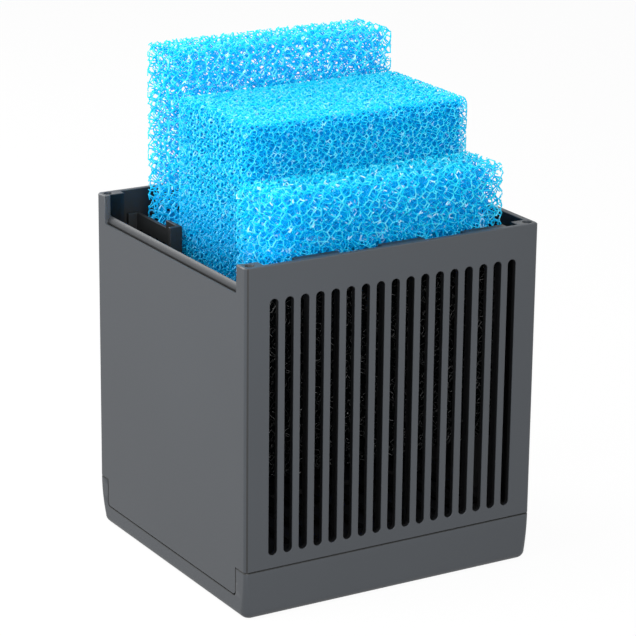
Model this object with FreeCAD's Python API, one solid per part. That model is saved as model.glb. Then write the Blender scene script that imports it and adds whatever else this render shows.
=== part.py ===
"""Open foam chamber of an internal aquarium filter, standing on its bottom cap.

Millimetres. +X runs right along the slotted front, +Y to the rear and +Z up. The origin is on the
ground, under the middle of the whole object, suction cups included.
"""
import FreeCAD, Part
import math
import os

from FreeCAD import Vector

# Overall sizes of the housing and its cap
width = 120.0
depth = 112.0
housing_height = 111.0
cap_height = 18.0
wall = 2.0
side_wall = 2.5
upright_radius = 1.5
rim_softness = 0.4

# Front grille
slot_count = 17
slot_width = 3.4
slot_row_width = 97.7
slot_top_margin = 12.1
slot_bottom_margin = 5.0

# Corner posts, the sockets in their tops and the pins under them
front_post_x = 8.0
front_post_y = 6.2
rear_post_x = 8.6
rear_post_y = 5.2
socket_inset = 3.1
socket_diameter = 3.5
socket_depth = 7.0
pin_diameter = 3.2
pin_length = 5.0

# Grate floor
skirt = 2.0
floor_thickness = 2.0
window_width = 5.0
window_rows = 2
window_columns = 9
floor_border = 7.0

# Low seat in the left wall, and the tongue that lies in the next seat
recess_front = 6.7
recess_rear = 6.3
recess_drop = 10.5
seat_ledge = 1.0
seat_groove = 0.4
seat_rise = 3.0
recess_corner = 2.4
tongue_corner = 1.7
fit_gap = 0.3

# Foam bay: lugs and ribs that keep the slabs off the walls
lug_count = 3
lug_length = 18.0
lug_pitch = 34.4
lug_reach = 3.0
lug_height = 5.0
rib_thickness = 1.4
rib_drop = 15.0
right_rib_reach = 8.1
rear_rib_reach = 4.2
left_rib_reach = 8.3

# Riser screen and its guides
screen_depth = 5.0
screen_span = 34.2
screen_wall = 1.5
screen_drop = 8.8
screen_tab = 10.0
screen_tab_rise = 2.8
screen_gap = 0.3
screen_stop = 2.0
screen_flank = 3.0
inlet_width = 3.2
inlet_count = 5
inlet_margin = 6.0

# Foam slabs
front_slab_thickness = 23.3
rear_slab_thickness = 23.3
slab_height = 103.0
front_lift = 26.3
middle_lift = 45.2
rear_lift = 60.7
slab_edge = 3.0
slab_right_gap = 0.3
slab_left_gap = 0.5
slab_screen_gap = 0.5
slab_play = 0.75

# Bottom cap
cap_radius = 3.0
cap_floor = 2.0
lip_rise = 1.6
lip_thickness = 1.4
lip_gap = 0.25
lip_depth = 5.0
cap_rib_height = 3.0
foot_recess = 0.6
foot_border = 9.0
seam_chamfer = 0.3

# Suction cups
cup_reach = 8.0
cup_radius = 12.0
cup_rim = 1.0
cup_disc = 1.6
cup_pocket = 0.6
cup_neck_radius = 3.1
cup_knob_radius = 4.3
cup_knob_length = 2.6
cup_hole_clearance = 0.1
cup_inset_x = 24.0
cup_low_rise = 27.0
cup_high_drop = 25.0

# Places that follow from the sizes
left = -width / 2
right = width / 2
front = -(depth + cup_reach) / 2
rear = front + depth
seam_z = cap_height
rim_z = seam_z + housing_height
floor_top = seam_z + skirt + floor_thickness
inner_left = left + side_wall
inner_right = right - side_wall
inner_front = front + wall
inner_rear = rear - wall
seat_front = front + recess_front
seat_rear = rear - recess_rear
foam_left_limit = inner_left + left_rib_reach
foam_right_limit = inner_right - right_rib_reach
foam_front_limit = inner_front + lug_reach
foam_rear_limit = inner_rear - rear_rib_reach
rib_top = rim_z - rib_drop
screen_left = foam_left_limit + screen_gap
screen_right = screen_left + screen_depth
screen_rear = inner_rear - screen_gap
screen_front = screen_rear - screen_span

# How far cutters run past a face and joined pieces run into each other
overlap = 0.5


def block(x0, x1, y0, y1, z0, z1):
    """A box between two corners."""
    return Part.makeBox(x1 - x0, y1 - y0, z1 - z0, Vector(x0, y0, z0))


def rod(x, y, z0, z1, diameter):
    """An upright round rod or hole."""
    return Part.makeCylinder(diameter / 2, z1 - z0, Vector(x, y, z0))


def edges_along(shape, axis):
    """The straight edges of a shape that run along an axis."""
    straight = [e for e in shape.Edges if isinstance(e.Curve, Part.Line)]
    return [e for e in straight if abs(e.Curve.Direction.dot(axis)) > 0.999]


def prism_x(points, x0, x1):
    """A polygon of (y, z) points, extruded from x0 to x1."""
    corners = [Vector(x0, y, z) for y, z in points]
    face = Part.Face(Part.makePolygon(corners + corners[:1]))
    return face.extrude(Vector(x1 - x0, 0, 0))


def stadium(x, z0, z1, diameter, y0, y1):
    """An upright round-ended slot cutter through a wall that faces along Y."""
    r = diameter / 2
    slot = block(x - r, x + r, y0, y1, z0 + r, z1 - r)
    for z in (z0 + r, z1 - r):
        slot = slot.fuse(Part.makeCylinder(r, y1 - y0, Vector(x, y0, z), Vector(0, 1, 0)))
    return slot.removeSplitter()


def post_boxes(z0, z1):
    """Blocks that fill the four corners, for the posts of the housing and of the cap."""
    return [
        block(left, left + front_post_x, front, front + front_post_y, z0, z1),
        block(right - front_post_x, right, front, front + front_post_y, z0, z1),
        block(left, left + rear_post_x, rear - rear_post_y, rear, z0, z1),
        block(right - rear_post_x, right, rear - rear_post_y, rear, z0, z1),
    ]


def socket_places():
    """The (x, y) axes that the corner sockets and pins share."""
    xs = (left + socket_inset, right - socket_inset)
    ys = (front + socket_inset, rear - socket_inset)
    return [(x, y) for x in xs for y in ys]


def seat_solid(edge_z, grow, y0, y1, depth_below):
    """The left wall under a seat: a flat ledge outside, a thin groove, then a rounded crown."""
    ledge_x = left + seat_ledge - grow
    foot_x = ledge_x + seat_groove
    inner_x = inner_left + grow
    top_z = edge_z + seat_rise + grow
    foot_z = edge_z - seat_groove + grow
    low_z = edge_z - depth_below
    points = [
        Vector(left - overlap, y0, low_z),
        Vector(left - overlap, y0, edge_z + grow),
        Vector(ledge_x, y0, edge_z + grow),
        Vector(ledge_x, y0, foot_z),
        Vector(foot_x, y0, foot_z),
    ]
    crown_top = Vector(inner_x, y0, top_z)
    bulge = Vector(foot_x + 0.25 * (inner_x - foot_x), y0, foot_z + 0.72 * (top_z - foot_z))
    lines = [Part.LineSegment(a, b).toShape() for a, b in zip(points, points[1:])]
    lines.append(Part.Arc(points[-1], bulge, crown_top).toShape())
    inside = Vector(inner_x, y0, low_z)
    lines.append(Part.LineSegment(crown_top, inside).toShape())
    lines.append(Part.LineSegment(inside, points[0]).toShape())
    return Part.Face(Part.Wire(lines)).extrude(Vector(0, y1 - y0, 0))


def seat_cutter(edge_z, top_z, y0, y1):
    """What is cut from a left wall to leave a seat with round lower corners."""
    low_z = edge_z - seat_groove - overlap
    tool = block(left - overlap, inner_left, y0, y1, low_z, top_z)
    corners = [e for e in edges_along(tool, Vector(1, 0, 0)) if e.BoundBox.ZMax < edge_z]
    tool = tool.makeFillet(recess_corner, corners)
    return tool.cut(seat_solid(edge_z, 0, y0 - overlap, y1 + overlap, recess_corner + overlap))


def front_ribs():
    """Ribs on the webs behind each lug, which hold the foam off the grille."""
    pitch = slot_row_width / (slot_count - 1)
    ribs = []
    for centre in lug_centres():
        for side in (-1, 1):
            wanted = centre + side * lug_length / 3
            web = math.floor((wanted + slot_row_width / 2) / pitch) + 0.5
            x = -slot_row_width / 2 + web * pitch
            ribs.append(block(x - rib_thickness / 2, x + rib_thickness / 2, inner_front - overlap,
                              foam_front_limit, floor_top - overlap, rim_z - lug_height))
    return ribs


def lug_centres():
    """The lugs are spread evenly over the foam bay."""
    middle = (foam_left_limit + inner_right) / 2
    first = middle - lug_pitch * (lug_count - 1) / 2
    return [first + lug_pitch * i for i in range(lug_count)]


def lugs():
    """Ledges inside the front rim, sloped underneath so that a mould can leave them."""
    profile = [
        (inner_front - overlap, rim_z),
        (foam_front_limit, rim_z),
        (foam_front_limit, rim_z - lug_height),
        (inner_front - overlap, rim_z - lug_height - lug_reach - overlap),
    ]
    return [prism_x(profile, c - lug_length / 2, c + lug_length / 2) for c in lug_centres()]


def side_and_rear_ribs():
    """Ribs on the right and rear walls, between which water flows round the foam."""
    low = floor_top - overlap
    ribs = []
    for share in (0.2, 0.5, 0.8):
        y = inner_front + share * (inner_rear - inner_front)
        ribs.append(block(foam_right_limit, inner_right + overlap, y - rib_thickness / 2,
                          y + rib_thickness / 2, low, rib_top))
    cup_x = right - cup_inset_x
    for x in (-cup_x / 3, cup_x / 3, (cup_x + foam_right_limit) / 2):
        ribs.append(block(x - rib_thickness / 2, x + rib_thickness / 2, foam_rear_limit,
                          inner_rear + overlap, low, rib_top))
    for share in (0.3, 0.8):
        y = foam_front_limit + share * front_slab_thickness
        ribs.append(block(inner_left - overlap, foam_left_limit, y - rib_thickness / 2,
                          y + rib_thickness / 2, low, rib_top))
    return ribs


def screen_guides():
    """Upright guides in which the riser screen slides."""
    low = floor_top - overlap
    stop_rear = screen_front - screen_gap
    stop_front = stop_rear - rib_thickness
    flank = screen_right + screen_gap
    return [
        block(inner_left - overlap, foam_left_limit, stop_front, screen_front + screen_wall, low, rib_top),
        block(foam_left_limit - overlap, screen_left + screen_stop, stop_front, stop_rear, low, rib_top),
        block(inner_left - overlap, foam_left_limit, screen_rear - screen_wall, inner_rear + overlap,
              low, rib_top),
        block(flank, flank + rib_thickness, inner_rear - screen_flank, inner_rear + overlap, low, rib_top),
    ]


def grate_windows():
    """Openings in the floor under the foam, and one under the riser channel."""
    x0 = screen_right + floor_border / 2
    x1 = foam_right_limit - floor_border / 2
    y0 = inner_front + floor_border
    y1 = inner_rear - floor_border
    low = seam_z
    high = floor_top + overlap
    step = (x1 - x0 - window_width) / (window_columns - 1)
    length = (y1 - y0 - floor_border * (window_rows - 1)) / window_rows
    cutters = []
    for column in range(window_columns):
        for row in range(window_rows):
            x = x0 + step * column
            y = y0 + (length + floor_border) * row
            cutters.append(block(x, x + window_width, y, y + length, low, high))
    riser_x = (inner_left + foam_left_limit) / 2
    cutters.append(block(riser_x - window_width / 2, riser_x + window_width / 2,
                         screen_front + floor_border, screen_rear - floor_border, low, high))
    return cutters


def grille_slots():
    """The cutters of the slots in the front wall."""
    pitch = slot_row_width / (slot_count - 1)
    low = seam_z + slot_bottom_margin
    high = rim_z - slot_top_margin
    return [stadium(-slot_row_width / 2 + pitch * i, low, high, slot_width, front - overlap,
                    inner_front + overlap / 2) for i in range(slot_count)]


def tongue():
    """The tab under the left wall that lies in the seat of whatever the housing stands on."""
    y0 = seat_front + fit_gap
    y1 = seat_rear - fit_gap
    edge_z = seam_z - recess_drop
    plate = block(left, inner_left, y0, y1, edge_z + fit_gap, seam_z + overlap)
    corners = [e for e in edges_along(plate, Vector(1, 0, 0)) if e.BoundBox.ZMax < seam_z]
    plate = plate.makeFillet(tongue_corner, corners)
    return plate.cut(seat_solid(edge_z, fit_gap, y0 - overlap, y1 + overlap, tongue_corner))


def corner_pins():
    """Pins that press into the sockets below."""
    return [rod(x, y, seam_z - pin_length, seam_z + overlap, pin_diameter) for x, y in socket_places()]


def make_housing():
    """The slotted foam chamber, moulded in one piece."""
    shell = block(left, right, front, rear, seam_z, rim_z)
    shell = shell.makeFillet(upright_radius, edges_along(shell, Vector(0, 0, 1)))
    foot = [e for e in shell.Edges if e.BoundBox.ZMax < seam_z + 1e-3]
    shell = shell.makeChamfer(seam_chamfer, foot)
    brim = [e for e in shell.Edges if e.BoundBox.ZMin > rim_z - 1e-3]
    shell = shell.makeChamfer(rim_softness, brim)
    corners = [post.common(shell) for post in post_boxes(seam_z, rim_z)]
    shell = shell.cut(block(inner_left, inner_right, inner_front, inner_rear, floor_top, rim_z + overlap))
    shell = shell.cut(block(inner_left, inner_right, inner_front, inner_rear, seam_z - overlap,
                            seam_z + skirt))
    inner = lugs() + front_ribs() + side_and_rear_ribs() + screen_guides()
    housing = shell.fuse(corners + inner + [tongue()] + corner_pins())
    cutters = grille_slots() + grate_windows()
    cutters.append(seat_cutter(rim_z - recess_drop, rim_z + overlap, seat_front, seat_rear))
    for x, y in socket_places():
        cutters.append(rod(x, y, rim_z - socket_depth, rim_z + overlap, socket_diameter))
    for x, z in cup_places():
        hole = Part.makeCylinder(cup_neck_radius + cup_hole_clearance, wall + 2 * overlap,
                                 Vector(x, inner_rear - overlap, z), Vector(0, 1, 0))
        cutters.append(hole)
    return housing.cut(cutters).removeSplitter()


def cap_lip():
    """A low lip inside the cap's front, right and rear walls that rises into the housing's skirt."""
    low = cap_height - lip_depth
    x0 = left + max(front_post_x, rear_post_x) + lip_gap
    x1 = right - max(front_post_x, rear_post_x) - lip_gap
    y0 = front + front_post_y + lip_gap
    y1 = rear - rear_post_y - lip_gap
    strips = []
    for grow, gap, z0, z1 in ((overlap, 0, low, cap_height), (0, lip_gap, low, cap_height + lip_rise)):
        strips.append(block(x0, x1, inner_front + gap - grow, inner_front + lip_thickness, z0, z1))
        strips.append(block(x0, x1, inner_rear - lip_thickness, inner_rear - gap + grow, z0, z1))
        strips.append(block(inner_right - lip_thickness, inner_right - gap + grow, y0, y1, z0, z1))
    return strips


def cap_ribs():
    """Low crossed ribs that stiffen the cap's floor."""
    z0 = cap_floor - overlap
    z1 = cap_floor + cap_rib_height
    ribs = []
    for share in (-1, 1):
        x = share * width / 6
        y = (front + rear) / 2 + share * depth / 6
        ribs.append(block(x - rib_thickness / 2, x + rib_thickness / 2, inner_front - overlap,
                          inner_rear + overlap, z0, z1))
        ribs.append(block(inner_left - overlap, inner_right + overlap, y - rib_thickness / 2,
                          y + rib_thickness / 2, z0, z1))
    return ribs


def make_base_cap():
    """The bottom cap, with ears beside the seat of the housing's tongue."""
    outer = block(left, right, front, rear, 0, cap_height)
    soft = edges_along(outer, Vector(0, 0, 1)) + [e for e in outer.Edges if e.BoundBox.ZMax < 1e-3]
    outer = outer.makeFillet(cap_radius, soft)
    brim = [e for e in outer.Edges if e.BoundBox.ZMin > cap_height - 1e-3]
    outer = outer.makeChamfer(seam_chamfer, brim)
    cavity = block(inner_left, inner_right, inner_front, inner_rear, cap_floor, cap_height + overlap)
    round_inside = [e for e in cavity.Edges if e.BoundBox.ZMax < cap_floor + 1e-3]
    cavity = cavity.makeChamfer(cap_radius - wall / 2, round_inside)
    corners = [post.common(outer) for post in post_boxes(cap_floor - overlap, cap_height)]
    ribs = [rib.common(outer) for rib in cap_ribs()]
    cap = outer.cut(cavity).fuse(corners + cap_lip() + ribs)
    cutters = [seat_cutter(seam_z - recess_drop, cap_height + overlap, seat_front, seat_rear)]
    for x, y in socket_places():
        cutters.append(rod(x, y, seam_z - pin_length - fit_gap, cap_height + overlap, socket_diameter))
    hollow = block(left + foot_border, right - foot_border, front + foot_border, rear - foot_border,
                   -overlap, foot_recess)
    hollow = hollow.makeFillet(foot_border / 2, edges_along(hollow, Vector(0, 0, 1)))
    cutters.append(hollow)
    return cap.cut(cutters).removeSplitter()


def make_riser_screen():
    """An upright slotted plate with returned edges that keeps foam out of the riser channel."""
    top = rim_z - screen_drop
    face_x = screen_right - screen_wall
    screen = block(face_x, screen_right, screen_front, screen_rear, floor_top, top)
    flanges = [
        block(screen_left, screen_right, screen_front, screen_front + screen_wall, floor_top, top),
        block(screen_left, screen_right, screen_rear - screen_wall, screen_rear, floor_top, top),
        block(screen_left, screen_right, screen_front, screen_rear, floor_top, floor_top + screen_wall),
        block(face_x, screen_right, screen_front, screen_front + screen_tab, floor_top, top + screen_tab_rise),
        block(screen_left, screen_right, screen_front, screen_front + screen_wall, floor_top,
              top + screen_tab_rise),
    ]
    screen = screen.fuse(flanges)
    y0 = screen_front + screen_tab / 2
    y1 = screen_rear - screen_tab / 2
    step = (y1 - y0) / (inlet_count - 1)
    cutters = []
    for i in range(inlet_count):
        slot = stadium(0, floor_top + inlet_margin, top - inlet_margin, inlet_width, -screen_wall, screen_wall)
        slot.rotate(Vector(0, 0, 0), Vector(0, 0, 1), 90)
        slot.translate(Vector(screen_right - screen_wall / 2, y0 + step * i, 0))
        cutters.append(slot)
    return screen.cut(cutters).removeSplitter()


def slab(x0, y0, y1, lift):
    """A foam slab on edge, worn round at its top and upright edges, drawn up by its lift."""
    z0 = floor_top + lift
    foam = block(x0, foam_right_limit - slab_right_gap, y0, y1, z0, z0 + slab_height)
    worn = [e for e in foam.Edges if e.BoundBox.ZMax > z0 + slab_edge]
    return foam.makeFillet(slab_edge, worn)


def make_foams():
    """Three slabs side by side, from the grille's ribs to the rear ribs."""
    front_end = foam_front_limit + slab_play + front_slab_thickness
    rear_start = foam_rear_limit - slab_play - rear_slab_thickness
    beside_screen = screen_right + slab_screen_gap
    return {
        "foam_front": slab(foam_left_limit + slab_left_gap, foam_front_limit + slab_play, front_end,
                           front_lift),
        "foam_middle": slab(beside_screen, front_end + slab_play, rear_start - slab_play, middle_lift),
        "foam_rear": slab(beside_screen, rear_start, foam_rear_limit - slab_play, rear_lift),
    }


def cup_places():
    """The (x, z) axes of the four suction cups on the rear wall."""
    xs = (left + cup_inset_x, right - cup_inset_x)
    return [(x, z) for z in (seam_z + cup_low_rise, rim_z - cup_high_drop) for x in xs]


def make_suction_cup(x, z):
    """A rubber cup, pressed flat, turned about its hole's axis, with a knob behind the wall."""
    knob_end = -wall - cup_knob_length
    disc_y = cup_reach - cup_disc
    outline = [
        (0, knob_end),
        (cup_knob_radius, knob_end),
        (cup_knob_radius, -wall),
        (cup_neck_radius, -wall),
        (cup_neck_radius, disc_y),
        (cup_radius, disc_y),
        (cup_radius, cup_reach),
        (cup_radius - cup_rim, cup_reach),
        (cup_radius - cup_rim, cup_reach - cup_pocket),
        (0, cup_reach - cup_pocket),
    ]
    points = [Vector(r, y, 0) for r, y in outline]
    face = Part.Face(Part.makePolygon(points + points[:1]))
    cup = face.revolve(Vector(0, 0, 0), Vector(0, 1, 0), 360)
    cup.translate(Vector(x, rear, z))
    return cup


def main():
    """Writes one file per piece."""
    os.makedirs("parts", exist_ok=True)
    pieces = {"housing": make_housing(), "base_cap": make_base_cap(), "riser_screen": make_riser_screen()}
    pieces.update(make_foams())
    for i, (x, z) in enumerate(cup_places(), start=1):
        pieces[f"suction_cup_{i}"] = make_suction_cup(x, z)
    for name, shape in pieces.items():
        print(name, len(shape.Solids), shape.isValid(), round(shape.Volume, 1))
        shape.exportStep(f"parts/{name}.step")


main()
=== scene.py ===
"""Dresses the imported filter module: moulded plastic, open-cell foam and rubber cups."""

import itertools
import math
import random
from collections import namedtuple

import bmesh
import bpy
from mathutils import Euler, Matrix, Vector


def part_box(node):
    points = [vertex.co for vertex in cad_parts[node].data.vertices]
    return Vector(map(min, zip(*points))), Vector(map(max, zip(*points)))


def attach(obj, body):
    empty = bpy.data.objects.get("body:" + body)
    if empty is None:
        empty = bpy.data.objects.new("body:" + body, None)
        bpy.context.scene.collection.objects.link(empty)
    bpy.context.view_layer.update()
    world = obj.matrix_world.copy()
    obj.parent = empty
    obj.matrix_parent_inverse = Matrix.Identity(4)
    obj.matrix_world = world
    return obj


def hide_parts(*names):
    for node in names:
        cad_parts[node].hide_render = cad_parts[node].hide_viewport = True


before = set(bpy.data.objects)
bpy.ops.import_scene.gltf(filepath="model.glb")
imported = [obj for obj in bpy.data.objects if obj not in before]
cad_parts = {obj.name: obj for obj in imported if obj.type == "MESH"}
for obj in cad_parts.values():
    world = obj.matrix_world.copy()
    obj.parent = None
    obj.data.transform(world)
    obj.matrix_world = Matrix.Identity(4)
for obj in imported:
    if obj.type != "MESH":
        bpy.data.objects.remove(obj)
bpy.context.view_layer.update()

bl_info = {
    "name": "Filter module",
    "version": (1, 0, 0),
    "blender": (4, 5, 0),
    "location": "View3D > Sidebar > Filter",
    "description": "Builds the looks of an open aquarium filter module with three foam slabs",
    "category": "Object",
}

MM = 0.001

# Places on the frame, read from its nodes
HOUSING_LOW, HOUSING_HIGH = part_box("housing")
LEFT = HOUSING_LOW.x
RIGHT = HOUSING_HIGH.x
FRONT = HOUSING_LOW.y
REAR = HOUSING_HIGH.y
RIM_Z = HOUSING_HIGH.z

# Sizes of the solids that no box gives
SEAM_Z = 18 * MM
CAD_CAP_RADIUS = 3 * MM
SLOT_LOW_Z = 23 * MM
SLOT_HIGH_Z = 116.9 * MM
SEAT_FRONT = FRONT + 6.7 * MM
SEAT_REAR = REAR - 6.3 * MM
SEAT_MIDDLE = (SEAT_FRONT + SEAT_REAR) / 2
SEAT_HALF = (SEAT_REAR - SEAT_FRONT) / 2
SEAT_DROP = 10.5 * MM
SEAT_Z = RIM_Z - SEAT_DROP
TONGUE_CORNER = 1.7 * MM

# How near points are the same one, lie on a cut, or lie on a face, and the angle of a corner in radians
SAME_POINT = 1e-6
CUT_REACH = 1e-7
ON_FACE = 0.01 * MM
SHARP_ANGLE = 1
# Outer corners are rounded down to this far below the rim, except the shortest edges
VISIBLE_DROP = 14 * MM
SHORT_EDGE = 0.8 * MM
# The slots lie in a field of this half width, which reaches this far past their ends, and the linings of
# the slots lie between these depths in the front wall
SLOT_FIELD_HALF = 52 * MM
SLOT_MARGIN = 1 * MM
SLOT_DEPTHS = (0.6 * MM, 2.1 * MM)
# The bay is painted dark as shade inside the housing's walls, and from this far below the rim
BAY_MARGIN = 1.9 * MM
BAY_DARK_DROP = 11 * MM
# The cap is painted dark as shade inside its walls and above its underside, and the points of its skin lie
# this near to the solid's roundings
CAP_MARGIN_X = 2.6 * MM
CAP_MARGIN_Y = 2.1 * MM
CAP_UNDERSIDE = 1 * MM
CAP_SKIN = 0.35 * MM

# Angles in degrees past which shading shows a crease
MOULD_CREASE = 32
RUBBER_CREASE = 50

# Heights at which the cap's wall is divided, so that its corners can open out in a curve
CAP_CUTS = [z * MM for z in (4.5, 6, 7.5, 9, 11, 13, 15.5)]


def linear(code):
    """The linear colour of an sRGB hex value."""
    parts = [int(code[i:i + 2], 16) / 255 for i in (1, 3, 5)]
    return tuple(c / 12.92 if c <= 0.04045 else ((c + 0.055) / 1.055) ** 2.4 for c in parts) + (1.0,)


# Painted shade on the moulding: half the width of its lines in the joints, and how softly it ends
PAINTED_SHADE_COLOUR = linear("#0e1011")
JOINT_LINE = 0.25 * MM
PAINTED_SHADE_FADE = 0.2 * MM
# The tongue's outline is drawn as a line of painted shade on the left wall's skin, up to just above the seam.
# It lies a corner's radius outside a rectangle, which has no limit across.
SKIN_X = LEFT + 0.6 * MM
OUTLINE_TOP = SEAM_Z + 0.3 * MM
TONGUE_MIDDLE = Vector((0, SEAT_MIDDLE, SEAM_Z + SEAT_DROP))
TONGUE_REACH = Vector((1, SEAT_HALF - TONGUE_CORNER, 2 * SEAT_DROP - TONGUE_CORNER))
# Bands of painted shade: how dark, then the middle and half the width across, from front to rear, and in
# height
SEAT_LENGTH = (SEAT_MIDDLE, SEAT_HALF - 0.1 * MM)
PAINTED_SHADE_BANDS = (
    # A painted dark line beside the front's left corner, standing in for the dark that its rounding reflects
    (1.0, (LEFT + 0.9 * MM, 0.2 * MM), (FRONT, 0.3 * MM), ((SEAM_Z + RIM_Z) / 2, (RIM_Z - SEAM_Z) / 2)),
    # Painted shade in the groove along the foot of the seat
    (1.0, (LEFT + 1.2 * MM, 0.35 * MM), SEAT_LENGTH, (SEAT_Z, 0.6 * MM)),
    # Painted shade on the seat, which the lamp at the left lights brightly
    (0.55, (LEFT + 3.5 * MM, 2.2 * MM), SEAT_LENGTH, (SEAT_Z, 4 * MM)),
    # Painted shade on the lugs behind the front wall, under the overhanging foam
    (0.85, (0, 50 * MM), (FRONT + 4.6 * MM, 2.3 * MM), (RIM_Z, 6 * MM)),
)

# Satin ABS: the slow drift of its tint as in a flow-marked moulding, the tints that it drifts between,
# the share of the fine grain in the tint, and the grain's depth
DRIFT_WIDTH = 60 * MM
DARK_TINT = 0.90
PALE_TINT = 1.14
GRAIN_SHARE = 0.4
GRAIN_DEPTH = 0.04 * MM

# The foam's block of cells, in cells: its side, how far off a cell's neighbours are looked for in steps
# and in a straight line, the cube that a cell is cut from, and how near points are made one within a
# block and between two
BLOCK_SIDE = 6
NEIGHBOUR_STEPS = 2
NEIGHBOUR_REACH = 1.9
CELL_CUBE = 2.4
BLOCK_JOIN = 0.002
BLOCK_SEAM = 0.003

# The foam's struts, in cells: how far past the slab they are kept for cutting, and the shortest before
# and after the cut
SPARE_CELLS = 2
SHORTEST_STRUT = 0.13
SHORTEST_END = 0.05
# Their cut ends fall short of a face by more than they stand out of it, in widths of the fray
FRAY_RANGE = (-2.2, 1)
# The lowest ends stay off the grate that the slab stands on when it is pushed home
FOOT_GAP = 0.3 * MM
# A slab's core starts a little inside its shell of struts
CORE_START = 0.95

# The bake's map has one square for each strut. These are shares of it: where the strut's first corner
# lies, the step to the next one, how far the middle one is raised, and how far the other end is.
STRUT_SIDES = 3
MAP_START_U = 0.2
MAP_START_V = 0.15
MAP_STEP = 0.3
MAP_BEND = 0.25
MAP_RISE = 0.4
# The core's faces share the map's last corner
CORE_MAP = 0.998

# Painted shade, nearly black, on the inlet slab behind the slots: its patches are a cell or two wide, and
# its border wanders by a quarter of SLOT_SHADE_WANDER either way and fades over SLOT_SHADE_FADE
SLOT_SHADE_COLOUR = linear("#05080a")
SLOT_SHADE_PATCH = 7 * MM
SLOT_SHADE_WANDER = 12 * MM
SLOT_SHADE_FADE = 5 * MM

# Painted shade on the foam: heights between which its colour deepens towards the rim and into the housing,
# and how deep it gets
RIM_SHADE_LOW_Z = RIM_Z - 12 * MM
RIM_SHADE_HIGH_Z = RIM_Z + 14 * MM
RIM_SHADE_SHARE = 0.85

# Heights between which the foam starts to let light through in its shadows, and by how much struts and
# core do, with the tint that they give it
LIT_LOW_Z = RIM_Z - 28 * MM
LIT_HIGH_Z = RIM_Z + 2 * MM
STRUT_LIGHT = ((0.9, 0.98, 1, 1), 0.93)
CORE_LIGHT = ((0.6, 0.92, 1, 1), 0.7)

# The foam's colour by depth, in cells: painted highlights on the cut ends down to END_DEPTH, painted shade
# deepening the colour between the two UNDER_DEPTHS. The highlights come in patches, and painted glints sit in
# the middle of wider cells.
END_DEPTH = 0.22
END_SHARE = 0.75
UNDER_DEPTHS = (0.15, 0.75)
PATCH_WIDTH = 4 * MM
PATCH_RANGE = (0.35, 0.6)
GLINT_COLOUR = linear("#e8fcff")
GLINT_SPACING = 5 * MM
GLINT_RANGE = (0.16, 0.24)
# How far struts and core look lit from behind, as against from in front
STRUT_THROUGH = 0.4
CORE_THROUGH = 0.5
# The core is mottled by cells of this width: from this share of it off a cell's middle, it has this
# share of its colour
MOTTLE_WIDTH = 3 * MM
MOTTLE_BORDER = 0.7
MOTTLE_SHADE = 0.7

# A suction cup's section in millimetres: the radius and the distance behind the wall's outer face, from
# the knob's tip round to the pocket
CUP_PROFILE = [(0.0, -4.6), (3.6, -4.6), (4.3, -3.9), (4.3, -2.2), (4.1, -2.0), (3.1, -2.0), (3.1, 3.9),
               (3.5, 5.2), (5.0, 6.0), (9.0, 6.5), (11.4, 6.6), (11.9, 7.0), (12.0, 7.5), (11.85, 7.95),
               (11.5, 8.0), (11.1, 7.9), (10.6, 7.6), (6.0, 7.3), (0.0, 7.25)]
# The dull bloom on the rubber: the width of its patches, and how it lightens the rubber's colour
BLOOM_WIDTH = 4 * MM
BLOOM_TINT = 1.8
BLOOM_VEIL = 0.004

# The stage, in metres: the floor, the point that the softboxes look at, and each one's place and width
FLOOR_RADIUS = 4
LIT_POINT = Vector((0, 0, 0.08))
SOFTBOXES = {
    "Key": (Vector((-0.42, 0.02, 0.36)), 0.3),
    "Front": (Vector((-0.17, -0.52, 0.30)), 0.3),
    "Top": (Vector((-0.1, 0.05, 1.1)), 0.8),
    "Back": (Vector((-0.35, 0.75, 0.65)), 0.5),
}

# The camera that was fitted to the photograph: place in metres, turn in degrees, lens in millimetres
CAMERA_PLACE = (-0.5143, -0.8665, 0.4087)
CAMERA_TURN = (90 - 17.77, -0.61, -30.71)
CAMERA_LENS = 162.6
CAMERA_SENSOR = 36
CAMERA_NEAREST = 0.01


class PlasticSettings(bpy.types.PropertyGroup):
    """What a user would change on the moulded pieces."""
    body_colour: bpy.props.FloatVectorProperty(
        name="Body colour", description="Colour of the housing and the cap",
        subtype="COLOR", size=4, min=0, max=1, default=linear("#3c4045"))
    # Painted shade for the insides of the bay, the slots and the cap
    inner_shade_colour: bpy.props.FloatVectorProperty(
        name="Inside colour", description="Colour of the insides, darkened as painted shade",
        subtype="COLOR", size=4, min=0, max=1, default=linear("#0b0c0e"))
    screen_colour: bpy.props.FloatVectorProperty(
        name="Screen colour", description="Colour of the riser screen",
        subtype="COLOR", size=4, min=0, max=1, default=linear("#0f1214"))
    grain: bpy.props.FloatProperty(
        name="Grain", description="Width of the eroded grain on the mould",
        unit="LENGTH", subtype="DISTANCE", default=0.5 * MM)
    edge: bpy.props.FloatProperty(
        name="Edge softness", description="Radius left on the moulded edges",
        unit="LENGTH", subtype="DISTANCE", default=0.25 * MM)
    slot_edge: bpy.props.FloatProperty(
        name="Slot edge", description="Radius on the mouths of the grille's slots",
        unit="LENGTH", subtype="DISTANCE", default=0.3 * MM)
    cap_corner_top: bpy.props.FloatProperty(
        name="Cap corner at the seam", description="Corner radius where the cap meets the housing",
        unit="LENGTH", subtype="DISTANCE", default=1.5 * MM)
    cap_corner_low: bpy.props.FloatProperty(
        name="Cap corner at the foot", description="Radius at the foot of the cap's front corners",
        unit="LENGTH", subtype="DISTANCE", default=3.6 * MM)
    cap_corner_rear: bpy.props.FloatProperty(
        name="Rear cap corner at the foot", description="Radius at the foot of the cap's rear corners",
        unit="LENGTH", subtype="DISTANCE", default=5.5 * MM)
    cap_edge: bpy.props.FloatProperty(
        name="Cap bottom edge", description="Radius of the cap's bottom edge",
        unit="LENGTH", subtype="DISTANCE", default=3 * MM)


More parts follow.
